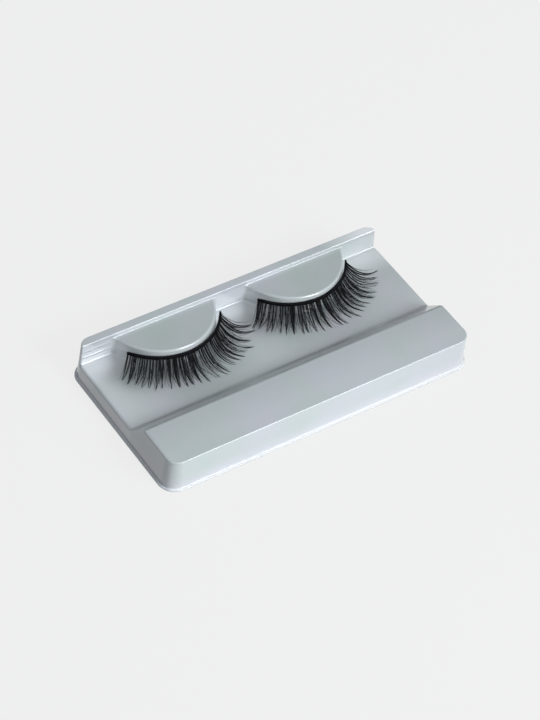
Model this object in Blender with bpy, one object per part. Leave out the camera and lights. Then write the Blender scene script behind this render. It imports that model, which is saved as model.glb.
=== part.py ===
"""A pair of false eyelash strips on their vacuum-formed plastic tray.

Metres, +Z up. The tray's rim lies on Z = 0 with its middle at the origin. X runs along
the tray, and Y runs from the plain bar in front to the narrow ledge at the back.
"""
import math

import bmesh
import bpy
from mathutils import Vector

# Tray: outline and sheet
TRAY_LENGTH = 0.100
TRAY_DEPTH = 0.0508
SHEET = 0.0005
RIM_WIDTH = 0.0006
RIM_CORNER = 0.005
TOP_CORNER = 0.0036
WALL_RUN_PER_RISE = 0.05

# Tray: heights above the surface that it lies on, and the ledge's rise above the bar
FLOOR_HEIGHT = 0.0051
BAR_HEIGHT = 0.0104
LEDGE_RISE = 0.0014

# Tray: the bar in front, its sloping back and the ledge behind
BAR_TOP_DEPTH = 0.01415
BAR_BACK_RUN = 0.0054
LEDGE_TOP_DEPTH = 0.0025
LEDGE_WALL_RUN = 0.0004

# Tray: the two half-moon seats that carry the strips
SEAT_RADIUS = 0.0164
SEAT_REACH = 0.01195
SEAT_SPACING = 0.0427
SEAT_SHIFT = -0.0009
SEAT_WALL_RUN = 0.0006
FILLET = 0.0006

# Eyelash strips: the band that rests against a seat's curved wall
BAND_THICKNESS = 0.0007
BAND_HEIGHT = 0.0009
BAND_DROP = 0.0013
BAND_CLEARANCE = 0.0003
BAND_SLACK = 0.0011
BAND_LEFT_ANGLE = math.radians(-54.5)
BAND_RIGHT_ANGLE = math.radians(58.5)

# Eyelash strips: the locks of hair
LOCK_COUNT = 24
LOCK_LENGTH = 0.0122
LOCK_THICKNESS = 0.0006
LOCK_TIP = 0.00014
LOCK_DIP = 0.0008
LOCK_LIFT = 0.0006

# How the locks fan out along the band. Columns: share of the band from its left end,
# heading at the root and at the tip in degrees to the right of straight out from the
# ledge, and length as a share of LOCK_LENGTH.
FAN = (
    (0.00, -41.0, -50.0, 0.78),
    (0.10, -37.0, -49.0, 0.90),
    (0.25, -31.0, -36.0, 0.97),
    (0.40, -24.0, -18.0, 0.97),
    (0.55, -14.0, 2.0, 0.99),
    (0.70, -12.0, 26.0, 1.00),
    (0.83, -8.0, 50.0, 1.00),
    (0.94, 4.0, 66.0, 0.90),
    (1.00, 18.0, 76.0, 0.76),
)

# Facets
CORNER_STEPS = 6
SEAT_STEPS = 22
BAND_STEPS = 28
LOCK_STEPS = 6
LOCK_SIDES = 6
FILLET_STEPS = 2

# How far a cutting body reaches past what it cuts
CUT_MARGIN = 0.002

# Worked out from the sizes above
LEDGE_HEIGHT = BAR_HEIGHT + LEDGE_RISE
HALF_LENGTH = TRAY_LENGTH / 2
HALF_DEPTH = TRAY_DEPTH / 2
WALL_FOOT_X = HALF_LENGTH - RIM_WIDTH
WALL_FOOT_Y = HALF_DEPTH - RIM_WIDTH
BAR_BACK_Y = -WALL_FOOT_Y + WALL_RUN_PER_RISE * BAR_HEIGHT + BAR_TOP_DEPTH
SLOPE_FOOT_Y = BAR_BACK_Y + BAR_BACK_RUN
LEDGE_FRONT_Y = WALL_FOOT_Y - WALL_RUN_PER_RISE * LEDGE_HEIGHT - LEDGE_TOP_DEPTH
SEAT_CENTRE_Y = LEDGE_FRONT_Y - SEAT_REACH + SEAT_RADIUS
BAND_TOP = BAR_HEIGHT - BAND_DROP


def clear_scene():
    for obj in list(bpy.data.objects):
        bpy.data.objects.remove(obj)


def material(name, colour, roughness):
    mat = bpy.data.materials.new(name)
    mat.use_nodes = True
    shader = mat.node_tree.nodes["Principled BSDF"]
    shader.inputs["Base Color"].default_value = (*colour, 1.0)
    shader.inputs["Roughness"].default_value = roughness
    shader.inputs["Metallic"].default_value = 0.0
    return mat


def add_object(name, mesh, mat=None):
    obj = bpy.data.objects.new(name, mesh)
    bpy.context.scene.collection.objects.link(obj)
    if mat:
        mesh.materials.append(mat)
    return obj


def mesh_from(name, bm):
    bmesh.ops.remove_doubles(bm, verts=bm.verts, dist=1e-6)
    bmesh.ops.recalc_face_normals(bm, faces=bm.faces)
    mesh = bpy.data.meshes.new(name)
    bm.to_mesh(mesh)
    bm.free()
    return mesh


def rounded_rectangle(half_x, half_y, radius):
    """Points round a rectangle with rounded corners, anticlockwise from the front left."""
    points = []
    for index, (sign_x, sign_y) in enumerate(((-1, -1), (1, -1), (1, 1), (-1, 1))):
        middle = Vector((sign_x * (half_x - radius), sign_y * (half_y - radius)))
        start = math.pi + index * math.pi / 2
        for step in range(CORNER_STEPS + 1):
            turn = start + math.pi / 2 * step / CORNER_STEPS
            points.append(middle + radius * Vector((math.cos(turn), math.sin(turn))))
    return points


def seat_centre_x(side):
    return SEAT_SHIFT + side * SEAT_SPACING / 2


def seat_wall_radius(height):
    """A seat flares towards the floor; this is its plan radius at a height."""
    share = (BAR_HEIGHT - height) / (BAR_HEIGHT - FLOOR_HEIGHT)
    return SEAT_RADIUS + SEAT_WALL_RUN * share


def ledge_wall_y(height):
    share = (LEDGE_HEIGHT - height) / (LEDGE_HEIGHT - FLOOR_HEIGHT)
    return LEDGE_FRONT_Y - LEDGE_WALL_RUN * share


def seat_arc(side, height, inset):
    """A seat's front outline at a height, left to right, both moved inwards by `inset`."""
    radius = seat_wall_radius(height) - inset
    wall = ledge_wall_y(height) + inset
    reach = math.acos((SEAT_CENTRE_Y - wall) / radius)
    points = []
    for step in range(SEAT_STEPS + 1):
        turn = -reach + 2 * reach * step / SEAT_STEPS
        x = seat_centre_x(side) + radius * math.sin(turn)
        points.append(Vector((x, SEAT_CENTRE_Y - radius * math.cos(turn), height - inset)))
    return points


def wall_outline(height, inset):
    """The drafted outside wall's plan outline at a height, moved inwards by `inset`."""
    run = WALL_RUN_PER_RISE * height + inset
    share = height / LEDGE_HEIGHT
    radius = (RIM_CORNER - RIM_WIDTH) * (1 - share) + TOP_CORNER * share - inset
    return rounded_rectangle(WALL_FOOT_X - run, WALL_FOOT_Y - run, radius)


def drafted_block(name, inset, base):
    """The block that the form is cut from, as high as the ledge all over."""
    bm = bmesh.new()
    rings = []
    for height in (base, LEDGE_HEIGHT - inset):
        rings.append([bm.verts.new((p.x, p.y, height)) for p in wall_outline(height, inset)])
    bridge_rings(bm, rings)
    return add_object(name, mesh_from(name, bm))


def form_cutter(name, inset):
    """All that is cut away above the bar, the floor and the two seats, as one body."""
    bm = bmesh.new()
    floor, bar, top = FLOOR_HEIGHT - inset, BAR_HEIGHT - inset, LEDGE_HEIGHT + CUT_MARGIN
    rise = BAR_HEIGHT - FLOOR_HEIGHT
    slope_shift = inset * (BAR_BACK_RUN - math.hypot(BAR_BACK_RUN, rise)) / rise
    front = -HALF_DEPTH - CUT_MARGIN
    profile = (
        (front, bar),
        (BAR_BACK_Y + slope_shift, bar),
        (SLOPE_FOOT_Y + slope_shift, floor),
        (ledge_wall_y(FLOOR_HEIGHT) + inset, floor),
        (ledge_wall_y(top + inset) + inset, top),
        (front, top),
    )

    def face(points):
        bm.faces.new([bm.verts.new(p) for p in points])

    far = HALF_LENGTH + CUT_MARGIN
    left = [Vector((-far, y, z)) for y, z in profile]
    right = [Vector((far, y, z)) for y, z in profile]
    face(left)
    face(right)
    for first, second in ((0, 1), (1, 2), (4, 5), (5, 0)):
        face((left[first], left[second], right[second], right[first]))
    floor_edge = [left[2], right[2], right[3]]
    ledge_wall = [left[4], right[4], right[3]]
    for side in (1, -1):
        low = seat_arc(side, FLOOR_HEIGHT, inset)
        high = seat_arc(side, BAR_HEIGHT, inset)
        for a, b, c, d in zip(low, low[1:], high[1:], high):
            face((a, b, c, d))
        face(high)
        floor_edge += reversed(low)
        ledge_wall += [low[-1], high[-1], high[0], low[0]]
    face([*floor_edge, left[3]])
    face([*ledge_wall, left[3]])
    return add_object(name, mesh_from(name, bm))


def rim_plate(name):
    """The flat trimmed rim that the tray stands on, as a whole plate."""
    bm = bmesh.new()
    outline = rounded_rectangle(HALF_LENGTH, HALF_DEPTH, RIM_CORNER)
    bridge_rings(bm, [[bm.verts.new((p.x, p.y, z)) for p in outline] for z in (0.0, SHEET)])
    return add_object(name, mesh_from(name, bm))


def hide_tool(obj):
    obj.hide_render = True
    obj.display_type = "WIRE"


def boolean(obj, tool, operation):
    modifier = obj.modifiers.new(tool.name, "BOOLEAN")
    modifier.operation = operation
    modifier.solver = "EXACT"
    modifier.object = tool
    hide_tool(tool)


def build_tray():
    """One thin formed sheet: rounded edges outside, hollow and open underneath."""
    hollow = drafted_block("tray_hollow", SHEET, -CUT_MARGIN)
    boolean(hollow, form_cutter("hollow_cutter", SHEET), "DIFFERENCE")
    tray = drafted_block("tray", 0.0, SHEET / 2)
    tray.data.materials.append(material("tray_plastic", (0.36, 0.40, 0.41), 0.28))
    boolean(tray, form_cutter("form_cutter", 0.0), "DIFFERENCE")
    fillet = tray.modifiers.new("rounded_edges", "BEVEL")
    fillet.width = FILLET
    fillet.segments = FILLET_STEPS
    fillet.limit_method = "ANGLE"
    fillet.angle_limit = math.radians(28)
    boolean(tray, rim_plate("rim_plate"), "UNION")
    boolean(tray, hollow, "DIFFERENCE")
    return tray


def fan_row(share):
    """Heading at root and tip, in radians, and length of the lock at a share of the band."""
    for left, right in zip(FAN, FAN[1:]):
        if share <= right[0]:
            break
    mix = (share - left[0]) / (right[0] - left[0])
    root, tip, length = (a + (b - a) * mix for a, b in zip(left[1:], right[1:]))
    return math.radians(root), math.radians(tip), LOCK_LENGTH * length


def band_radius():
    """Inner radius of the band, a little flatter than the seat's wall behind it."""
    return seat_wall_radius(BAND_TOP - BAND_HEIGHT) + BAND_CLEARANCE + BAND_SLACK


def band_point(side, turn, radius, height):
    """A point on the band, whose curve comes closest to the seat straight in front."""
    centre_y = SEAT_CENTRE_Y + BAND_SLACK
    x = seat_centre_x(side) + radius * math.sin(turn)
    return Vector((x, centre_y - radius * math.cos(turn), height))


def band_mesh(side):
    """The band is a low flat bar bent round the seat."""
    bm = bmesh.new()
    inner, outer = band_radius(), band_radius() + BAND_THICKNESS
    rings = []
    for step in range(BAND_STEPS + 1):
        turn = BAND_LEFT_ANGLE + (BAND_RIGHT_ANGLE - BAND_LEFT_ANGLE) * step / BAND_STEPS
        section = ((inner, BAND_TOP - BAND_HEIGHT), (outer, BAND_TOP - BAND_HEIGHT),
                   (outer, BAND_TOP), (inner, BAND_TOP))
        rings.append([bm.verts.new(band_point(side, turn, r, z)) for r, z in section])
    bridge_rings(bm, rings)
    return mesh_from("band", bm)


def bridge_rings(bm, rings):
    """Joins a row of closed rings into one tube with flat ends."""
    count = len(rings[0])
    for first, second in zip(rings, rings[1:]):
        for k in range(count):
            n = (k + 1) % count
            bm.faces.new((first[k], first[n], second[n], second[k]))
    bm.faces.new(rings[0][::-1])
    bm.faces.new(rings[-1])


def lock_path(side, share):
    """Points down the middle of one lock, from inside the band to its tip."""
    turn = BAND_LEFT_ANGLE + (BAND_RIGHT_ANGLE - BAND_LEFT_ANGLE) * share
    root_heading, tip_heading, length = fan_row(share)
    middle = BAND_TOP - BAND_HEIGHT / 2
    point = band_point(side, turn, band_radius() + BAND_THICKNESS / 2, middle)
    points = [point.copy()]
    pieces = 4 * LOCK_STEPS
    for piece in range(1, pieces + 1):
        heading = root_heading + (tip_heading - root_heading) * (piece - 0.5) / pieces
        point += Vector((math.sin(heading), -math.cos(heading), 0.0)) * length / pieces
        if piece % 4 == 0:
            along = piece / pieces
            height = middle - LOCK_DIP * math.sin(math.pi * along) + LOCK_LIFT * along ** 2
            points.append(Vector((point.x, point.y, height)))
    return points


def lock_rings(bm, path, root_width):
    """Six-sided rings along a lock, wide at the band and drawn out to a fine tip."""
    rings = []
    for index, point in enumerate(path):
        ahead = path[min(index + 1, len(path) - 1)] - path[max(index - 1, 0)]
        across = Vector((-ahead.y, ahead.x, 0.0)).normalized()
        upward = ahead.normalized().cross(across) * -1
        left = 1 - index / (len(path) - 1)
        half_width = (LOCK_TIP + (root_width - LOCK_TIP) * left ** 0.75) / 2
        half_thick = (LOCK_TIP + (LOCK_THICKNESS - LOCK_TIP) * left ** 0.75) / 2
        turns = [2 * math.pi * k / LOCK_SIDES for k in range(LOCK_SIDES)]
        ring = [point + across * half_width * math.cos(a) + upward * half_thick * math.sin(a) for a in turns]
        rings.append([bm.verts.new(p) for p in ring])
    return rings


def locks_mesh(side):
    """All the locks of one strip, side by side along the band."""
    bm = bmesh.new()
    band_length = (BAND_RIGHT_ANGLE - BAND_LEFT_ANGLE) * (band_radius() + BAND_THICKNESS / 2)
    root_width = 0.84 * band_length / LOCK_COUNT
    margin = 0.5 * root_width / band_length
    for index in range(LOCK_COUNT):
        share = margin + (1 - 2 * margin) * index / (LOCK_COUNT - 1)
        bridge_rings(bm, lock_rings(bm, lock_path(side, share), root_width))
    return mesh_from("locks", bm)


def build_strip(name, side, mat):
    """One eyelash strip: the band with its locks fused to it."""
    strip = add_object(name, band_mesh(side), mat)
    boolean(strip, add_object(name + "_locks", locks_mesh(side)), "UNION")
    return strip


clear_scene()
build_tray()
hair = material("eyelash_black", (0.012, 0.012, 0.014), 0.42)
build_strip("left_lash_strip", -1, hair)
build_strip("right_lash_strip", 1, hair)
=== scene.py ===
"""The looks of a pair of false eyelash strips on their vacuum-formed tray."""

import math
import random

import bmesh
import bpy
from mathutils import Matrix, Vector


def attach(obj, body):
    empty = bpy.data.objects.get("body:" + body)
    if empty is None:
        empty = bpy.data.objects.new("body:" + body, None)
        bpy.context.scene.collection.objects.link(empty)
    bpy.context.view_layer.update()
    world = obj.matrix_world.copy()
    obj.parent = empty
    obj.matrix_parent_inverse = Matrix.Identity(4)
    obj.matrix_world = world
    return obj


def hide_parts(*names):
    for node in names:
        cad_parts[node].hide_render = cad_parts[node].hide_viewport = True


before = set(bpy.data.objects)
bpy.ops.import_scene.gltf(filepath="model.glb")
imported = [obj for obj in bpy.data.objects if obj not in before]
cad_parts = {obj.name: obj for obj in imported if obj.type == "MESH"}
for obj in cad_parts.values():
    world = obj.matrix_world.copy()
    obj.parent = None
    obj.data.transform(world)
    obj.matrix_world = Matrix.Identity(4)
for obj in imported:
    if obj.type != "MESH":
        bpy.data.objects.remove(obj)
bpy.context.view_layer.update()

# Tray, in metres, as in the solids, but drawn as a thinner sheet
SHEET = 0.0003
RIM_WIDTH = 0.0006
RIM_CORNER = 0.005
TOP_CORNER = 0.0036
WALL_RUN_PER_RISE = 0.05
FLOOR_HEIGHT = 0.0051
BAR_HEIGHT = 0.0104
LEDGE_HEIGHT = 0.0118
BAR_TOP_DEPTH = 0.01415
BAR_BACK_RUN = 0.0054
LEDGE_TOP_DEPTH = 0.0025
LEDGE_WALL_RUN = 0.0004
SEAT_RADIUS = 0.0164
SEAT_REACH = 0.01195
SEAT_SPACING = 0.0427
SEAT_SHIFT = -0.0009
SEAT_WALL_RUN = 0.0006
HALF_LENGTH = 0.050
HALF_DEPTH = 0.0254

# Tray, worked out from the sizes above
WALL_FOOT_X = HALF_LENGTH - RIM_WIDTH
WALL_FOOT_Y = HALF_DEPTH - RIM_WIDTH
BAR_BACK_Y = -WALL_FOOT_Y + WALL_RUN_PER_RISE * BAR_HEIGHT + BAR_TOP_DEPTH
SLOPE_FOOT_Y = BAR_BACK_Y + BAR_BACK_RUN
LEDGE_FRONT_Y = WALL_FOOT_Y - WALL_RUN_PER_RISE * LEDGE_HEIGHT - LEDGE_TOP_DEPTH
SEAT_CENTRE_Y = LEDGE_FRONT_Y - SEAT_REACH + SEAT_RADIUS
SEAT_HEIGHT = BAR_HEIGHT - FLOOR_HEIGHT

# How far each kind of edge of the tray is rounded
ROUNDING = {
    "seat_side": 0.0011,
    "other_upright": 0.0006,
    "rim_foot": 0.0002,
    "ledge_front": 0.00019,
    "ledge_outside": 0.0003,
    "seat_back": 0.00017,
    "seat_front": 0.0006,
    "bar_back": 0.00055,
    "bar_outside": 0.0003,
    "slope_foot": 0.0008,
    "floor": 0.0006,
}
WIDEST_ROUNDING = 0.0012
SHARP_EDGE = math.radians(28)

# Limits that tell one edge or one point from another, in metres
TOLERANCE = 0.00001
LEDGE_TOLERANCE = 0.00005
MERGE_DISTANCE = 1e-7
UPRIGHT_RISE = 0.001
SEATS_END_X = 0.046
SHORT_EDGE = 0.001

# How finely the tray is drawn. The arcs are turns in degrees round a corner, and a back corner
# has none where the ledge's wall meets it
FRONT_ARC = tuple(range(0, 91, 9))
BACK_ARC = (0, 29, 39, 49, 59, 69, 79, 90)
SEAT_STEPS = 28
FOOT_STEPS = 4
ROUNDING_STEPS = 6
CUT_MARGIN = 0.002

# Bands, in metres
BAND_THICKNESS = 0.0007
BAND_HEIGHT = 0.0009
BAND_DROP = 0.0013
BAND_CLEARANCE = 0.0003
BAND_SLACK = 0.0011
BAND_LEFT = math.radians(-54.5)
BAND_RIGHT = math.radians(58.5)
RIGHT_STRIP_SHIFT = (-0.0003, 0.0002)
BAND_TOP = BAR_HEIGHT - BAND_DROP
BAND_FOOT_RUN = SEAT_WALL_RUN * (BAND_DROP + BAND_HEIGHT) / SEAT_HEIGHT
BAND_RADIUS = SEAT_RADIUS + BAND_FOOT_RUN + BAND_CLEARANCE + BAND_SLACK
BAND_CENTRE_Y = SEAT_CENTRE_Y + BAND_SLACK
BAND_MIDDLE_RADIUS = BAND_RADIUS + BAND_THICKNESS / 2
BAND_MIDDLE_HEIGHT = BAND_TOP - BAND_HEIGHT / 2

# Lengths along the band, in millimetres
BAND_LENGTH_MM = 36.0
BAND_END_MM = 1.6
ROOT_SCATTER_MM = 0.125

# The band's knots and section: how much fuller the drawn section is than the solid's flat bar,
# its roundness (1 is an ellipse, near 0 a rectangle) and its size at the very end
BAND_STEPS = 620
BAND_SIDES = 14
KNOTS = 104
KNOT_RIDGE = 0.055
BAND_ROUNDNESS = 0.55
BAND_WIDER = 1.05
BAND_TALLER = 1.12
BAND_RAISED = 0.00006
BAND_END_SIZE = 0.62
BAND_END_POWER = 0.6

# Share of the band, heading at root and tip in degrees, length as a share of HAIR_LENGTH
FAN = (
    (0.00, -41.0, -50.0, 0.90),
    (0.10, -37.0, -47.0, 0.97),
    (0.25, -31.0, -36.0, 0.97),
    (0.40, -24.0, -18.0, 0.97),
    (0.55, -14.0, 2.0, 0.99),
    (0.70, -12.0, 26.0, 1.02),
    (0.83, -8.0, 49.0, 1.05),
    (0.94, 4.0, 66.0, 0.91),
    (1.00, 18.0, 77.0, 0.76),
)

# One hair: its curve and its taper
HAIR_LENGTH = 0.0127
HAIR_RADIUS = (0.000042, 0.000055)
HAIR_STEPS = 12
HAIR_SIDES = 5
HAIR_DIP = 0.0008
TIP_LIFT = 0.0006
HOOK = 1.25
HOOK_POWER = 1.5
TAPER = 0.58
TAPER_POWER = 2.6

# Tufts, the strands that meet in them and the single hairs between them. Shifts along the band
# are shares of a tuft's width, and reaches are shares of the length that the fan gives. A pull
# of 1 brings a hair's tip onto its tuft's line
TUFTS = 24
TUFT_SHIFT = 0.3
TUFT_REACH = (0.93, 1.06)
STRANDS_IN_TUFT = (2, 2, 2, 3)
STRAND_SPACING = (0.85, 1.1)
STRAND_REACH = (0.94, 1.0)
STRAND_PULL = (0.85, 1.0)
HAIRS_IN_STRAND = (9, 10, 11)
CROSSING_SHARE = 0.12
SINGLES = 120
SINGLE_SHIFT = 0.4
SINGLE_REACH = (0.70, 1.0)
SINGLE_PULL = (0.0, 0.7)

# How far strands and hairs stray from their lines: drifts and levels in metres, turns in
# radians, a rise as a share of the drift sideways and the shortening as a share of the length
STRAND_DRIFT = 0.00014
STRAND_RISE = 0.6
STRAND_TURN = 0.05
HAIR_DRIFT = 0.00005
HAIR_RISE = 0.8
HAIR_TURN = 0.02
HAIR_SHORTENING = 0.05
ROOT_LEVELS = (-0.00022, 0.00022)

# Shares of the band between which the hairs start
ROOT_RANGE = (0.003, 0.997)

# Where on its way a hair joins its tuft, as shares of its length
GATHER_START = 0.08
GATHER_RUN = 0.95
GATHER_POWER = 0.9

# Each strip: its side, its name, the seed of its random hair and the extra bend at its right end
STRIPS = (
    (-1, "left", 11, 0.0),
    (1, "right", 29, math.radians(10)),
)

# Stretches of the tray over which the plastic's tone changes, in metres from start to end
WHOLE_X = (-HALF_LENGTH, HALF_LENGTH)
LEFT_FLOOR_X = (-0.034, -0.047)
LEFT_WALL_X = (-0.0480, -0.0488)
RIGHT_PART_X = (0.015, 0.050)
LEDGE_LEFT_X = (-HALF_LENGTH, -0.038)
LEDGE_RIGHT_X = (0.030, 0.044)
WHOLE_Y = (-HALF_DEPTH, HALF_DEPTH)
BAR_EDGE_Y = (-0.0232, -0.0238)
FLOOR_FRONT_Y = (-0.0056, -0.0046)
BEHIND_SLOPE_Y = (-0.0050, 0.0050)
SEAT_DEPTH_Y = (0.0080, 0.0220)
LEDGE_FOOT_Y = (0.0125, 0.0220)
LEDGE_WALL_Y = (0.0200, 0.0230)
WHOLE_Z = (0.0, LEDGE_HEIGHT)
TRIMMED_Z = (0.0009, 0.0003)
LOWER_WALL_Z = (0.0048, 0.0008)
SEAT_WALL_Z = (0.0052, 0.0104)
LOW_FLOOR_Z = (0.0100, 0.0060)
BAR_EDGE_Z = (0.0098, 0.0101)
LEDGE_TOP_Z = (0.0113, 0.0117)

# Colours of the plastic's painted light, painted shade and painted glare
PAINTED_LIGHT = (0.76, 0.79, 0.81)
LOWER_WALL_LIGHT = (0.56, 0.55, 0.60)
RIM_LIGHT = (0.64, 0.66, 0.67)
LEDGE_GLARE = (0.88, 0.90, 0.91)
LEDGE_SHADE_LINE = (0.20, 0.21, 0.22)

# Black fibre: how much paler and how much rougher its pale streaks are
STREAK_PALER = 2.2
STREAK_ROUGHER = 0.16

# Camera: angles in degrees and distance in metres. The focal length and the shift are in pixels
# of a picture as tall as the photograph
PHOTO_HEIGHT = 720.0
FOCAL_LENGTH = 2557.9
CAMERA_SHIFT = (-2.21, 7.05)
CAMERA_AZIMUTH = -40.94
CAMERA_ELEVATION = 46.89
CAMERA_ROLL = 9.59
CAMERA_DISTANCE = 0.7
CLIPPING = (0.05, 20.0)

# Stage: sizes in metres, greys, and how much of the floor's tone is its own glow
FLOOR_REACH = 3.0
FLOOR_DROP = 0.00002
FLOOR_GREY = 0.84
FLOOR_GLOW = 0.863
GLOW_SHARE = 0.93
BACKDROP_RADIUS = 2.9
BACKDROP_GLOW = 0.86
WORLD_COLOUR = (0.97, 1.0, 1.03)


def new_object(name, mesh, mat=None):
    obj = bpy.data.objects.new(name, mesh)
    bpy.context.scene.collection.objects.link(obj)
    if mat:
        mesh.materials.append(mat)
    return obj


def mesh_from(name, bm):
    bmesh.ops.remove_doubles(bm, verts=bm.verts, dist=MERGE_DISTANCE)
    bmesh.ops.recalc_face_normals(bm, faces=bm.faces)
    mesh = bpy.data.meshes.new(name)
    bm.to_mesh(mesh)
    bm.free()
    return mesh


def shade_smooth(mesh):
    for polygon in mesh.polygons:
        polygon.use_smooth = True


def applied(obj, name):
    """The object's mesh with its modifiers applied, as a new object without any."""
    graph = bpy.context.evaluated_depsgraph_get()
    graph.update()
    mesh = bpy.data.meshes.new_from_object(obj.evaluated_get(graph), depsgraph=graph)
    mesh.name = name
    bpy.data.objects.remove(obj)
    return new_object(name, mesh)


def bridge_rings(bm, rings):
    """Closes a row of rings of points into one solid, with a face at each end."""
    count = len(rings[0])
    for first, second in zip(rings, rings[1:]):
        for k in range(count):
            n = (k + 1) % count
            bm.faces.new((first[k], first[n], second[n], second[k]))
    bm.faces.new(rings[0][::-1])
    bm.faces.new(rings[-1])


# The tray: a block, less what lies above the bar, the floor and the seats
def rounded_rectangle(half_x, half_y, radius):
    points = []
    for index, (sign_x, sign_y) in enumerate(((-1, -1), (1, -1), (1, 1), (-1, 1))):
        middle = Vector((sign_x * (half_x - radius), sign_y * (half_y - radius)))
        arc = FRONT_ARC if sign_y < 0 else BACK_ARC
        # The outline passes the left back corner from the back to the side, so its arc is mirrored
        if index == 3:
            arc = [90 - a for a in reversed(arc)]
        for degrees in arc:
            turn = math.radians(180 + 90 * index + degrees)
            points.append(middle + radius * Vector((math.cos(turn), math.sin(turn))))
    return points


def wall_outline(height):
    run = WALL_RUN_PER_RISE * height
    share = height / LEDGE_HEIGHT
    radius = (RIM_CORNER - RIM_WIDTH) * (1 - share) + TOP_CORNER * share
    return rounded_rectangle(WALL_FOOT_X - run, WALL_FOOT_Y - run, radius)


def ledge_wall_y(height):
    share = (LEDGE_HEIGHT - height) / (LEDGE_HEIGHT - FLOOR_HEIGHT)
    return LEDGE_FRONT_Y - LEDGE_WALL_RUN * share


def seat_centre_x(side):
    return SEAT_SHIFT + side * SEAT_SPACING / 2


def seat_arc(side, height):
    """A seat's curved wall at one height, from one end on the ledge's wall to the other."""
    share = (BAR_HEIGHT - height) / SEAT_HEIGHT
    radius = SEAT_RADIUS + SEAT_WALL_RUN * share
    reach = math.acos((SEAT_CENTRE_Y - ledge_wall_y(height)) / radius)
    centre_x = seat_centre_x(side)
    points = []
    for step in range(SEAT_STEPS + 1):
        turn = -reach + 2 * reach * step / SEAT_STEPS
        x = centre_x + radius * math.sin(turn)
        y = SEAT_CENTRE_Y - radius * math.cos(turn)
        points.append(Vector((x, y, height)))
    return points


def tray_block():
    bm = bmesh.new()
    rings = []
    for height in (SHEET, LEDGE_HEIGHT):
        rings.append([bm.verts.new((p.x, p.y, height)) for p in wall_outline(height)])
    bridge_rings(bm, rings)
    return new_object("tray_block", mesh_from("tray_block", bm))


def tray_cutter():
    """Everything above the bar, the floor and the two seats, and in front of the ledge."""
    bm = bmesh.new()
    top = LEDGE_HEIGHT + CUT_MARGIN
    front = -HALF_DEPTH - CUT_MARGIN
    profile = (
        (front, BAR_HEIGHT),
        (BAR_BACK_Y, BAR_HEIGHT),
        (SLOPE_FOOT_Y, FLOOR_HEIGHT),
        (ledge_wall_y(FLOOR_HEIGHT), FLOOR_HEIGHT),
        (ledge_wall_y(top), top),
        (front, top),
    )

    def face(points):
        bm.faces.new([bm.verts.new(p) for p in points])

    far = HALF_LENGTH + CUT_MARGIN
    left = [Vector((-far, y, z)) for y, z in profile]
    right = [Vector((far, y, z)) for y, z in profile]
    face(left)
    face(right)
    for first, second in ((0, 1), (1, 2), (4, 5), (5, 0)):
        face((left[first], left[second], right[second], right[first]))
    floor_edge = [left[2], right[2], right[3]]
    ledge_wall = [left[4], right[4], right[3]]
    for side in (1, -1):
        low = seat_arc(side, FLOOR_HEIGHT)
        high = seat_arc(side, BAR_HEIGHT)
        for a, b, c, d in zip(low, low[1:], high[1:], high):
            face((a, b, c, d))
        face(high)
        floor_edge += reversed(low)
        ledge_wall += [low[-1], high[-1], high[0], low[0]]
    face([*floor_edge, left[3]])
    face([*ledge_wall, left[3]])
    return new_object("tray_cutter", mesh_from("tray_cutter", bm))


def corner_offset(point):
    """The middle of the nearest corner's arc, and the way from it to a point."""
    middle_x = math.copysign(HALF_LENGTH - RIM_CORNER, point.x)
    middle_y = math.copysign(HALF_DEPTH - RIM_CORNER, point.y)
    middle = Vector((middle_x, middle_y))
    return middle, point - middle


def in_corner(point):
    past_x = abs(point.x) > HALF_LENGTH - RIM_CORNER - TOLERANCE
    past_y = abs(point.y) > HALF_DEPTH - RIM_CORNER - TOLERANCE
    return past_x and past_y


def refine_foot(edge):
    """Divides a long edge of a corner's foot and sets the new points on the arc."""
    start, end = edge.verts
    length = edge.calc_length()
    along_one_corner = in_corner(start.co) and in_corner(end.co) and length < RIM_CORNER
    if length < SHORT_EDGE or not along_one_corner:
        return
    middle, first = corner_offset(start.co.xy)
    turn = first.angle_signed(end.co.xy - middle)
    base = math.atan2(first.y, first.x)
    last = start
    for step in range(1, FOOT_STEPS):
        left = FOOT_STEPS - step + 1
        last = bmesh.utils.edge_split(edge, last, 1 / left)[1]
        angle = base - turn * step / FOOT_STEPS
        last.co.x = middle.x + first.length * math.cos(angle)
        last.co.y = middle.y + first.length * math.sin(angle)
        edge = next(e for e in last.link_edges if end in e.verts)


def rim_point(point):
    """The rim's outer edge, straight out from a point of the wall's foot."""
    middle, out = corner_offset(point)
    if in_corner(point):
        return middle + out.normalized() * RIM_CORNER
    if abs(point.x) > HALF_LENGTH - 2 * RIM_WIDTH:
        return Vector((math.copysign(HALF_LENGTH, point.x), point.y))
    return Vector((point.x, math.copysign(HALF_DEPTH, point.y)))


def edge_kind(edge):
    """Which of the kinds in ROUNDING an edge is, by where it lies on the tray."""
    heights = [v.co.z for v in edge.verts]
    middle = (edge.verts[0].co + edge.verts[1].co) / 2
    at_ledge = abs(middle.y - ledge_wall_y(middle.z)) < LEDGE_TOLERANCE
    if max(heights) - min(heights) > UPRIGHT_RISE:
        return "seat_side" if at_ledge and abs(middle.x) < SEATS_END_X else "other_upright"
    if middle.z < SHEET + TOLERANCE:
        return "rim_foot"
    if middle.z > LEDGE_HEIGHT - TOLERANCE:
        return "ledge_front" if at_ledge else "ledge_outside"
    if middle.z > BAR_HEIGHT - TOLERANCE:
        if at_ledge:
            return "seat_back"
        if abs(middle.y - BAR_BACK_Y) < TOLERANCE:
            return "bar_back"
        return "seat_front" if middle.y > BAR_BACK_Y else "bar_outside"
    return "slope_foot" if middle.y < 0 else "floor"


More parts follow.
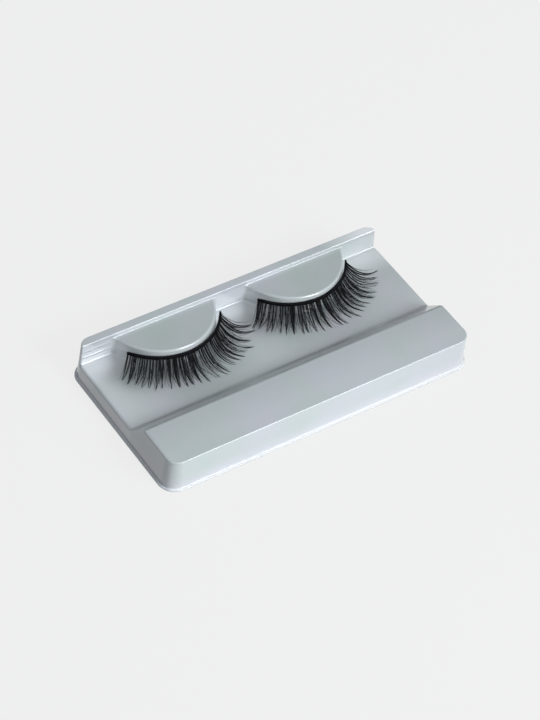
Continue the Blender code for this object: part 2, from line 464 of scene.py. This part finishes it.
def open_skin(form):
    """Opens the form's underside, turns its foot out into the rim and marks the edges to round."""
    bm = bmesh.new()
    bm.from_mesh(form.data)
    low = [f for f in bm.faces if all(v.co.z < SHEET + TOLERANCE for v in f.verts)]
    bmesh.ops.delete(bm, geom=low, context="FACES")
    for edge in [e for e in bm.edges if e.is_boundary]:
        refine_foot(edge)
    edges = [e for e in bm.edges if e.is_boundary]
    made = bmesh.ops.extrude_edge_only(bm, edges=edges)["geom"]
    for vert in (g for g in made if isinstance(g, bmesh.types.BMVert)):
        vert.co.x, vert.co.y = rim_point(vert.co.xy)
    bmesh.ops.recalc_face_normals(bm, faces=bm.faces)
    weight = bm.edges.layers.float.new("bevel_weight_edge")
    for edge in bm.edges:
        if edge.is_manifold and edge.calc_face_angle() > SHARP_EDGE:
            edge[weight] = ROUNDING[edge_kind(edge)] / WIDEST_ROUNDING
    bm.to_mesh(form.data)
    bm.free()


def build_tray(mat):
    """The tray as one smooth sheet: cut, opened, rounded and given its thickness."""
    block, cutter = tray_block(), tray_cutter()
    cut = block.modifiers.new("cut", "BOOLEAN")
    cut.operation = "DIFFERENCE"
    cut.solver = "EXACT"
    cut.object = cutter
    form = applied(block, "tray_form")
    bpy.data.objects.remove(cutter)
    open_skin(form)
    bevel = form.modifiers.new("round", "BEVEL")
    bevel.width = WIDEST_ROUNDING
    bevel.segments = ROUNDING_STEPS
    bevel.limit_method = "WEIGHT"
    bevel.use_clamp_overlap = False
    sheet = form.modifiers.new("sheet", "SOLIDIFY")
    sheet.thickness = SHEET
    sheet.offset = -1.0
    sheet.use_even_offset = True
    normals = form.modifiers.new("normals", "WEIGHTED_NORMAL")
    normals.mode = "FACE_AREA"
    normals.weight = 100
    shade_smooth(form.data)
    tray = applied(form, "formed_tray")
    tray.data.materials.clear()
    tray.data.materials.append(mat)
    return tray


# The bands. A share runs from 0 at a band's left end to 1 at its right end
def band_turn(share):
    return BAND_LEFT + (BAND_RIGHT - BAND_LEFT) * share


def band_point(side, share):
    """A point on the middle line of one strip's band."""
    turn = band_turn(share)
    shift_x, shift_y = RIGHT_STRIP_SHIFT if side > 0 else (0.0, 0.0)
    x = seat_centre_x(side) + shift_x + BAND_MIDDLE_RADIUS * math.sin(turn)
    y = BAND_CENTRE_Y + shift_y - BAND_MIDDLE_RADIUS * math.cos(turn)
    return Vector((x, y, BAND_MIDDLE_HEIGHT))


def band_outward(share):
    turn = band_turn(share)
    return Vector((math.sin(turn), -math.cos(turn), 0.0))


def superellipse(value):
    return math.copysign(abs(value) ** BAND_ROUNDNESS, value)


def build_band(side, name, mat):
    """The black cotton band: a flat bar with a fine ridge for every knot."""
    bm = bmesh.new()
    rings = []
    for step in range(BAND_STEPS + 1):
        share = step / BAND_STEPS
        end = min(share, 1 - share) * BAND_LENGTH_MM
        fullness = min(1.0, end / BAND_END_MM) ** BAND_END_POWER
        swell = BAND_END_SIZE + (1 - BAND_END_SIZE) * fullness
        ridge = 1.0 + KNOT_RIDGE * math.cos(2 * math.pi * share * KNOTS)
        outward = band_outward(share)
        centre = band_point(side, share)
        ring = []
        for k in range(BAND_SIDES):
            turn = 2 * math.pi * k / BAND_SIDES
            across = superellipse(math.cos(turn)) * BAND_THICKNESS / 2
            upward = superellipse(math.sin(turn)) * BAND_HEIGHT / 2
            raised = Vector((0, 0, upward * BAND_TALLER + BAND_RAISED))
            section = outward * across * BAND_WIDER + raised
            ring.append(bm.verts.new(centre + section * (swell * ridge)))
        rings.append(ring)
    bridge_rings(bm, rings)
    band = new_object(name, mesh_from(name, bm), mat)
    shade_smooth(band.data)
    return band


# The hair
def fan_row(share):
    """Heading at root and tip and length of a hair, between the two nearest rows of FAN."""
    for left, right in zip(FAN, FAN[1:]):
        if share <= right[0]:
            break
    mix = (share - left[0]) / (right[0] - left[0])
    root, tip, length = (a + (b - a) * mix for a, b in zip(left[1:], right[1:]))
    return math.radians(root), math.radians(tip), length * HAIR_LENGTH


def centre_line(side, share, bend):
    """Points from the band to the tip of a hair that starts at a share of the band."""
    root_heading, tip_heading, length = fan_row(min(1.0, max(0.0, share)))
    tip_heading += bend * share * share
    point = band_point(side, share)
    points = [point.copy()]
    for step in range(1, HAIR_STEPS + 1):
        along = (step - 0.5) / HAIR_STEPS
        heading = root_heading + (tip_heading - root_heading) * HOOK * along ** HOOK_POWER
        way = Vector((math.sin(heading), -math.cos(heading), 0.0))
        point = point + way * length / HAIR_STEPS
        along = step / HAIR_STEPS
        lift = -HAIR_DIP * math.sin(math.pi * along) + TIP_LIFT * along * along
        points.append(Vector((point.x, point.y, BAND_MIDDLE_HEIGHT + lift)))
    return points


def add_hair(verts, faces, path, root_radius):
    """A tapered round hair along a path, closed at its root and drawn out to a point."""
    base = len(verts)
    last = len(path) - 1
    for index, point in enumerate(path[:-1]):
        ahead = path[min(index + 1, last)] - path[max(index - 1, 0)]
        across = Vector((-ahead.y, ahead.x, 0.0)).normalized()
        upward = across.cross(ahead).normalized()
        radius = root_radius * (1.0 - TAPER * (index / last) ** TAPER_POWER)
        for k in range(HAIR_SIDES):
            turn = 2 * math.pi * k / HAIR_SIDES
            verts.append(point + (across * math.cos(turn) + upward * math.sin(turn)) * radius)
    verts.append(path[-1])
    for ring in range(last - 1):
        low = base + ring * HAIR_SIDES
        high = low + HAIR_SIDES
        for k in range(HAIR_SIDES):
            n = (k + 1) % HAIR_SIDES
            faces.append((low + k, low + n, high + n, high + k))
    low = base + (last - 1) * HAIR_SIDES
    for k in range(HAIR_SIDES):
        faces.append((low + k, low + (k + 1) % HAIR_SIDES, base + last * HAIR_SIDES))
    faces.append(tuple(base + k for k in range(HAIR_SIDES))[::-1])


def along_line(points, along):
    """A point at a share of the way along a line of evenly spaced points, or a little past it."""
    last = len(points) - 1
    k = min(last - 1, int(along * last))
    return points[k].lerp(points[k + 1], along * last - k)


def smooth(value):
    value = min(1.0, max(0.0, value))
    return value * value * (3 - 2 * value)


def scatter(rng, rise):
    """A random step, whose rise is its usual way up or down for one unit sideways."""
    return Vector((rng.gauss(0, 1), rng.gauss(0, 1), rng.gauss(0, rise)))


def plan_strands(rng, tuft_shares):
    """For each strand its place on the band, its tuft, its hairs and its reach; a single has no tuft."""
    strands = []
    for tuft, share in enumerate(tuft_shares):
        count = rng.choice(STRANDS_IN_TUFT)
        for n in range(count):
            place = (n + 0.5) / count - 0.5
            root = share + place * rng.uniform(*STRAND_SPACING) / TUFTS
            strands.append((root, tuft, rng.choice(HAIRS_IN_STRAND), rng.uniform(*STRAND_REACH)))
    for k in range(SINGLES):
        root = (k + rng.random()) / SINGLES
        strands.append((root, None, 1, rng.uniform(*SINGLE_REACH)))
    return strands


def near_tuft(rng, tuft_shares, root):
    """The nearest tuft to a single hair, or now and then the one beside it."""
    def distance(k):
        return abs(tuft_shares[k] - root - rng.gauss(0, SINGLE_SHIFT / TUFTS))

    return min(range(TUFTS), key=distance)


def hair_path(mine, theirs, pull, stop, spread, lower):
    """Points of one hair, which leaves its own line for its tuft's line on its way."""
    path = []
    for index in range(HAIR_STEPS + 1):
        along = index / HAIR_STEPS * stop
        gather = pull * smooth((along - GATHER_START) / GATHER_RUN) ** GATHER_POWER
        point = along_line(mine, along).lerp(along_line(theirs, along), gather) + spread * along
        point.z += lower * (1 - along)
        path.append(point)
    return path


def build_hair(side, name, mat, seed, bend):
    """Several hundred tapered hairs: thin strands from the knots that meet in pointed tufts."""
    rng = random.Random(seed)
    one_mm = 1 / BAND_LENGTH_MM
    tuft_shares = [(k + 0.5 + rng.uniform(-TUFT_SHIFT, TUFT_SHIFT)) / TUFTS for k in range(TUFTS)]
    tuft_lines = [centre_line(side, share, bend) for share in tuft_shares]
    tuft_reach = [rng.uniform(*TUFT_REACH) for _ in range(TUFTS)]
    verts, faces = [], []
    for root, tuft, count, reach in plan_strands(rng, tuft_shares):
        if tuft is None:
            tuft = near_tuft(rng, tuft_shares, root)
            pull = rng.uniform(*SINGLE_PULL)
        else:
            pull = rng.uniform(*STRAND_PULL)
        drift = scatter(rng, STRAND_RISE) * STRAND_DRIFT
        turn = rng.gauss(0, STRAND_TURN)
        for _ in range(count):
            share = root + rng.gauss(0, ROOT_SCATTER_MM) * one_mm
            share = min(ROOT_RANGE[1], max(ROOT_RANGE[0], share))
            mine = centre_line(side, share, bend + turn + rng.gauss(0, HAIR_TURN))
            aim = tuft
            if count > 1 and rng.random() < CROSSING_SHARE:
                aim = min(TUFTS - 1, max(0, tuft + rng.choice((-1, 1))))
            stop = reach * tuft_reach[aim] * (1.0 - abs(rng.gauss(0, HAIR_SHORTENING)))
            spread = drift + scatter(rng, HAIR_RISE) * HAIR_DRIFT
            lower = rng.uniform(*ROOT_LEVELS)
            path = hair_path(mine, tuft_lines[aim], pull, stop, spread, lower)
            add_hair(verts, faces, path, rng.uniform(*HAIR_RADIUS))
    mesh = bpy.data.meshes.new(name)
    mesh.from_pydata([tuple(v) for v in verts], [], faces)
    mesh.update()
    shade_smooth(mesh)
    return new_object(name, mesh, mat)


class Shading:
    """A material and its nodes, which all read the object's own coordinates."""

    def __init__(self, name):
        self.material = bpy.data.materials.new(name)
        self.material.use_nodes = True
        self.nodes = self.material.node_tree.nodes
        self.shader = self.nodes["Principled BSDF"]
        self.coords = self.nodes.new("ShaderNodeTexCoord").outputs["Object"]

    def link(self, value, socket):
        self.material.node_tree.links.new(value, socket)

    def drive(self, name, value):
        """Links a value that changes over the surface to one of the shader's sockets."""
        self.link(value, self.shader.inputs[name])

    def along(self, axis, stretch):
        """0 to 1 from the start to the end of a stretch of one of the object's axes."""
        split = self.nodes.new("ShaderNodeSeparateXYZ")
        self.link(self.coords, split.inputs["Vector"])
        node = self.nodes.new("ShaderNodeMapRange")
        node.inputs["From Min"].default_value = stretch[0]
        node.inputs["From Max"].default_value = stretch[1]
        self.link(split.outputs[axis], node.inputs["Value"])
        return node.outputs["Result"]

    def noise(self, scale, detail, rough):
        node = self.nodes.new("ShaderNodeTexNoise")
        node.inputs["Scale"].default_value = scale
        node.inputs["Detail"].default_value = detail
        node.inputs["Roughness"].default_value = rough
        self.link(self.coords, node.inputs["Vector"])
        return node.outputs["Fac"]

    def ramp(self, value, *stops):
        """A colour for each value; a stop is a place from 0 to 1 and a colour or a grey."""
        node = self.nodes.new("ShaderNodeValToRGB")
        ramp = node.color_ramp
        while len(ramp.elements) < len(stops):
            ramp.elements.new(0.5)
        for element, (place, colour) in zip(ramp.elements, stops):
            if isinstance(colour, float):
                colour = (colour,) * 3
            element.position = place
            element.color = (*colour, 1.0)
        self.link(value, node.inputs["Fac"])
        return node.outputs["Color"]

    def window(self, value, opens, full, fades, closes, most=1.0):
        """A grey that is black outside the outer two places and full between the inner two."""
        return self.ramp(value, (opens, 0.0), (full, most), (fades, most), (closes, 0.0))

    def blend(self, kind, factor, first, second):
        """Two colours blended; the factor and the second may be a link or a value."""
        node = self.nodes.new("ShaderNodeMix")
        node.data_type = "RGBA"
        node.blend_type = kind
        if isinstance(factor, float):
            node.inputs["Factor"].default_value = factor
        else:
            self.link(factor, node.inputs["Factor"])
        self.link(first, node.inputs[6])
        if isinstance(second, tuple):
            node.inputs[7].default_value = (*second, 1.0)
        else:
            self.link(second, node.inputs[7])
        return node.outputs[2]

    def multiply(self, first, second):
        return self.blend("MULTIPLY", 1.0, first, second)

    def screen(self, first, second):
        return self.blend("SCREEN", 1.0, first, second)

    def tint(self, where, first, second):
        return self.blend("MIX", where, first, second)

    def bump(self, height, distance, strength, normal=None):
        node = self.nodes.new("ShaderNodeBump")
        node.inputs["Distance"].default_value = distance
        node.inputs["Strength"].default_value = strength
        self.link(height, node.inputs["Height"])
        if normal:
            self.link(normal, node.inputs["Normal"])
        return node.outputs["Normal"]


# The tray's plastic: its tones, painted shade and painted light read from the front of the tray to its
# back, then place by place
def tone_by_depth(look, colour):
    depth = look.along("Y", WHOLE_Y)
    # Painted shade: darker towards the back of the bar's top, over the seats and on the ledge's wall
    depth_shade = look.ramp(
        depth,
        (0.10, (1.0, 1.0, 1.0)),
        (0.27, (0.885, 0.88, 0.885)),
        (0.42, (0.97, 0.97, 0.97)),
        (0.50, (0.96, 0.96, 0.96)),
        (0.70, (0.84, 0.845, 0.835)),
        (0.90, (0.86, 0.865, 0.855)),
        (0.925, (0.95, 0.945, 0.955)),
    )
    colour = look.multiply(colour, depth_shade)
    # Painted shade on the slope behind the bar, which faces away from the light; not on the end walls
    # beside it
    slope = look.ramp(
        depth,
        (0.285, 1.0),
        (0.31, (0.73, 0.73, 0.74)),
        (0.39, (0.71, 0.71, 0.72)),
        (0.415, 1.0),
    )
    inside = look.window(look.along("X", WHOLE_X), 0.014, 0.020, 0.980, 0.986)
    return look.blend("MULTIPLY", inside, colour, slope)


def painted_light_lift(look):
    """Painted light: how much paler the sheet is where shade falls deep in the tray, on the floor and on
    the seats' walls.
    """
    foot = look.ramp(look.along("Y", LEDGE_FOOT_Y), (0.0, 0.0), (0.57, 0.48), (0.82, 0.44), (0.91, 0.06))
    left_end = look.ramp(look.along("X", LEFT_FLOOR_X), (0.0, 0.09), (1.0, 0.28))
    left_end = look.multiply(left_end, look.along("Y", FLOOR_FRONT_Y))
    behind_slope = look.along("Y", BEHIND_SLOPE_Y)
    behind_slope = look.ramp(behind_slope, (0.0, 0.0), (0.08, 0.12), (0.20, 0.09), (0.55, 0.0))
    floor = look.screen(look.screen(foot, left_end), behind_slope)
    floor = look.multiply(floor, look.along("Z", LOW_FLOOR_Z))
    seat_depth = look.ramp(
        look.along("Y", SEAT_DEPTH_Y),
        (0.0, 0.0),
        (0.06, 0.21),
        (0.31, 0.21),
        (0.48, 0.0),
        (0.68, 0.0),
        (0.81, 0.28),
        (0.90, 0.28),
        (0.935, 0.0),
    )
    wall_height = look.window(look.along("Z", SEAT_WALL_Z), 0.06, 0.16, 0.90, 0.98)
    return look.screen(floor, look.multiply(seat_depth, wall_height))


def tone_of_outer_parts(look, colour):
    """The lower walls and the trimmed edge paler (painted light), the left end wall and the right part
    darker (painted shade) and the ledge's right end paler (a painted glare).
    """
    # Painted light: the outer walls paler and more lavender towards their foot
    lower_wall_light = look.ramp(look.along("Z", LOWER_WALL_Z), (0.0, 0.0), (1.0, 0.5))
    colour = look.tint(lower_wall_light, colour, LOWER_WALL_LIGHT)
    # Painted light: the trimmed rim paler, though it lies in shade
    colour = look.tint(look.along("Z", TRIMMED_Z), colour, RIM_LIGHT)
    # Painted shade: the left end wall darker
    left_wall_shade = look.ramp(look.along("X", LEFT_WALL_X), (0.0, 1.0), (1.0, (0.76, 0.775, 0.80)))
    colour = look.multiply(colour, left_wall_shade)
    # Painted shade: the right part of the tray a little darker
    right_part_shade = look.ramp(look.along("X", RIGHT_PART_X), (0.0, 1.0), (1.0, (0.925, 0.92, 0.915)))
    colour = look.multiply(colour, right_part_shade)
    # Painted glare: the ledge's top paler towards its right end
    ledge_end_glare = look.multiply(look.along("X", LEDGE_RIGHT_X), look.along("Z", LEDGE_TOP_Z))
    ledge_end_glare = look.ramp(ledge_end_glare, (0.0, 0.0), (1.0, 0.55))
    return look.tint(ledge_end_glare, colour, LEDGE_GLARE)


def draw_ridges(look, rise, at_ledge):
    """Two soft ridges on the ledge's wall, at its left end."""
    ridges = look.ramp(
        rise,
        (0.575, 0.0),
        (0.615, 1.0),
        (0.655, 0.0),
        (0.745, 0.0),
        (0.785, 0.7),
        (0.825, 0.0),
    )
    at_left_end = look.window(look.along("X", LEDGE_LEFT_X), 0.10, 0.20, 0.68, 0.90)
    return look.multiply(look.multiply(ridges, at_ledge), at_left_end)


def coat_weight(look, rise):
    """A full coat, but none on the trimmed rim and less along the bar's front edge."""
    at_edge = look.multiply(look.along("Y", BAR_EDGE_Y), look.along("Z", BAR_EDGE_Z))
    above_rim = look.ramp(rise, (0.045, 0.0), (0.09, 1.0))
    return look.multiply(above_rim, look.ramp(at_edge, (0.0, 1.0), (1.0, 0.3)))


def tray_plastic():
    """Light grey sheet under a glossy coat, with a fine grain, soft waves, light scuffs and painted
    light and shade.
    """
    look = Shading("formed_plastic")
    colour = look.ramp(
        look.noise(scale=75.0, detail=4.0, rough=0.55),
        (0.30, (0.418, 0.478, 0.466)),
        (0.52, (0.448, 0.490, 0.498)),
        (0.72, (0.474, 0.486, 0.524)),
    )
    colour = tone_by_depth(look, colour)
    # Painted light on the floor and the seats' walls, where shade falls
    colour = look.tint(painted_light_lift(look), colour, PAINTED_LIGHT)
    colour = tone_of_outer_parts(look, colour)
    # Painted shade: a darker line along the ledge, between the two bright edges of its front
    rise = look.along("Z", WHOLE_Z)
    at_ledge = look.window(look.along("Y", LEDGE_WALL_Y), 0.34, 0.42, 0.60, 0.68)
    line = look.multiply(look.window(rise, 0.890, 0.905, 0.960, 0.975, 0.22), at_ledge)
    look.drive("Base Color", look.tint(line, colour, LEDGE_SHADE_LINE))
    scuffs = look.noise(scale=420.0, detail=5.0, rough=0.62)
    look.drive("Roughness", look.ramp(scuffs, (0.35, 0.29), (0.75, 0.35)))
    waves = look.noise(scale=60.0, detail=2.0, rough=0.4)
    normal = look.bump(waves, distance=0.0001, strength=0.5)
    ridges = draw_ridges(look, rise, at_ledge)
    normal = look.bump(ridges, distance=0.00035, strength=1.0, normal=normal)
    grain = look.noise(scale=2600.0, detail=2.0, rough=0.5)
    normal = look.bump(grain, distance=0.000004, strength=0.5, normal=normal)
    look.drive("Normal", normal)
    look.drive("Coat Weight", coat_weight(look, rise))
    look.shader.inputs["Coat Roughness"].default_value = 0.08
    look.shader.inputs["Specular IOR Level"].default_value = 0.5
    return look.material


def lash_black(name, colour, roughness, gloss):
    """Near-black fibre, a little paler and duller in fine streaks."""
    look = Shading(name)
    streaks = look.noise(scale=1500.0, detail=3.0, rough=0.6)
    paler = tuple(STREAK_PALER * c for c in colour)
    look.drive("Base Color", look.ramp(streaks, (0.3, colour), (0.8, paler)))
    look.drive("Roughness", look.ramp(streaks, (0.3, roughness), (0.8, roughness + STREAK_ROUGHER)))
    fibres = look.noise(scale=5200.0, detail=3.0, rough=0.6)
    look.drive("Normal", look.bump(fibres, distance=0.00002, strength=0.5))
    look.shader.inputs["Specular IOR Level"].default_value = gloss
    return look.material


# The object's pieces
plastic = tray_plastic()
tray = build_tray(plastic)
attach(tray, "root")
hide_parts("tray")

band_mat = lash_black("knotted_cotton", (0.0025, 0.0025, 0.003), roughness=0.62, gloss=0.08)
hair_mat = lash_black("black_hair", (0.003, 0.003, 0.0035), roughness=0.34, gloss=0.24)
for side, label, seed, bend in STRIPS:
    band = build_band(side, label + "_band", band_mat)
    hair = build_hair(side, label + "_hair", hair_mat, seed, bend)
    for piece in (band, hair):
        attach(piece, "root")
        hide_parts(label + "_lash_strip")


# The stage, the lights and the camera
def glowing_material(name, grey):
    """A new material, and the output of a plain glow in it that is linked to nothing yet."""
    mat = bpy.data.materials.new(name)
    mat.use_nodes = True
    glow = mat.node_tree.nodes.new("ShaderNodeEmission")
    glow.inputs["Color"].default_value = (grey, grey, grey, 1.0)
    return mat, glow.outputs[0]


def build_floor():
    bm = bmesh.new()
    corners = ((-1, -1), (1, -1), (1, 1), (-1, 1))
    bm.faces.new([bm.verts.new((x * FLOOR_REACH, y * FLOOR_REACH, 0.0)) for x, y in corners])
    mesh = bpy.data.meshes.new("floor")
    bm.to_mesh(mesh)
    bm.free()
    mat, glow = glowing_material("pale_floor", FLOOR_GLOW)
    nodes, links = mat.node_tree.nodes, mat.node_tree.links
    shader = nodes["Principled BSDF"]
    shader.inputs["Base Color"].default_value = (FLOOR_GREY, FLOOR_GREY, FLOOR_GREY, 1.0)
    shader.inputs["Roughness"].default_value = 1.0
    shader.inputs["Specular IOR Level"].default_value = 0.0
    mix = nodes.new("ShaderNodeMixShader")
    mix.inputs["Fac"].default_value = GLOW_SHARE
    links.new(shader.outputs[0], mix.inputs[1])
    links.new(glow, mix.inputs[2])
    links.new(mix.outputs[0], nodes["Material Output"].inputs["Surface"])
    floor = new_object("floor", mesh, mat)
    floor.location.z = -FLOOR_DROP
    floor.visible_diffuse = False
    floor.visible_shadow = False


def build_backdrop():
    bm = bmesh.new()
    bmesh.ops.create_uvsphere(bm, u_segments=48, v_segments=24, radius=BACKDROP_RADIUS)
    bmesh.ops.reverse_faces(bm, faces=bm.faces)
    mesh = bpy.data.meshes.new("backdrop")
    bm.to_mesh(mesh)
    bm.free()
    mat, glow = glowing_material("pale_backdrop", BACKDROP_GLOW)
    mat.node_tree.links.new(glow, mat.node_tree.nodes["Material Output"].inputs["Surface"])
    backdrop = new_object("backdrop", mesh, mat)
    backdrop.visible_diffuse = False
    backdrop.visible_glossy = False
    backdrop.visible_shadow = False


def look_from(azimuth, elevation):
    """The direction from the object towards a camera or a light."""
    a, e = math.radians(azimuth), math.radians(elevation)
    return Vector((math.sin(a) * math.cos(e), -math.cos(a) * math.cos(e), math.sin(e)))


def area_light(name, azimuth, elevation, distance, size, power, colour):
    data = bpy.data.lights.new(name, "AREA")
    data.shape = "DISK"
    data.size = size
    data.energy = power
    data.color = colour
    lamp = bpy.data.objects.new(name, data)
    bpy.context.scene.collection.objects.link(lamp)
    direction = look_from(azimuth, elevation)
    lamp.location = direction * distance
    lamp.visible_camera = False
    lamp.rotation_mode = "QUATERNION"
    lamp.rotation_quaternion = direction.to_track_quat("Z", "Y")


def build_world(above, below, lean, sideways):
    """Soft even light, weaker from under the horizon and a little stronger from the front left."""
    world = bpy.data.worlds.new("studio")
    bpy.context.scene.world = world
    world.use_nodes = True
    nodes, links = world.node_tree.nodes, world.node_tree.links
    coords = nodes.new("ShaderNodeTexCoord").outputs["Generated"]
    split = nodes.new("ShaderNodeSeparateXYZ")
    links.new(coords, split.inputs["Vector"])
    strength = None
    for axis, reach, low, high in (
        ("Z", 0.15, below, above),
        ("Y", 1.0, 1 + lean, 1 - lean),
        ("X", 1.0, 1 - sideways, 1 + sideways),
    ):
        ramp = nodes.new("ShaderNodeMapRange")
        ramp.inputs["From Min"].default_value = -reach
        ramp.inputs["From Max"].default_value = reach
        ramp.inputs["To Min"].default_value = low
        ramp.inputs["To Max"].default_value = high
        links.new(split.outputs[axis], ramp.inputs["Value"])
        if strength is None:
            strength = ramp.outputs["Result"]
            continue
        product = nodes.new("ShaderNodeMath")
        product.operation = "MULTIPLY"
        links.new(strength, product.inputs[0])
        links.new(ramp.outputs["Result"], product.inputs[1])
        strength = product.outputs[0]
    links.new(strength, nodes["Background"].inputs["Strength"])
    nodes["Background"].inputs["Color"].default_value = (*WORLD_COLOUR, 1.0)


def build_camera():
    """The camera of the photograph, fitted to the tray's straight edges."""
    data = bpy.data.cameras.new("camera")
    camera = bpy.data.objects.new("camera", data)
    bpy.context.scene.collection.objects.link(camera)
    data.lens = FOCAL_LENGTH / PHOTO_HEIGHT * data.sensor_width
    data.shift_x = CAMERA_SHIFT[0] / PHOTO_HEIGHT
    data.shift_y = CAMERA_SHIFT[1] / PHOTO_HEIGHT
    data.clip_start, data.clip_end = CLIPPING
    direction = look_from(CAMERA_AZIMUTH, CAMERA_ELEVATION)
    level = (-direction).cross(Vector((0, 0, 1))).normalized()
    upright = level.cross(-direction)
    roll = math.radians(CAMERA_ROLL)
    right = level * math.cos(roll) + upright * math.sin(roll)
    up = upright * math.cos(roll) - level * math.sin(roll)
    rotation = camera.matrix_world.to_3x3()
    for row in range(3):
        rotation[row] = (right[row], up[row], direction[row])
    camera.matrix_world = rotation.to_4x4()
    camera.location = direction * CAMERA_DISTANCE
    bpy.context.scene.camera = camera


build_floor()
build_backdrop()
area_light("key", azimuth=24.0, elevation=31.0, distance=0.85, size=0.466, power=7.8,
           colour=(0.98, 1.0, 1.04))
area_light("front_fill", azimuth=0.0, elevation=-9.0, distance=1.2, size=0.6, power=3.8,
           colour=(0.96, 1.0, 1.05))
build_world(above=0.50, below=0.02, lean=0.28, sideways=-0.22)
build_camera()
bpy.context.scene.view_settings.view_transform = "Standard"
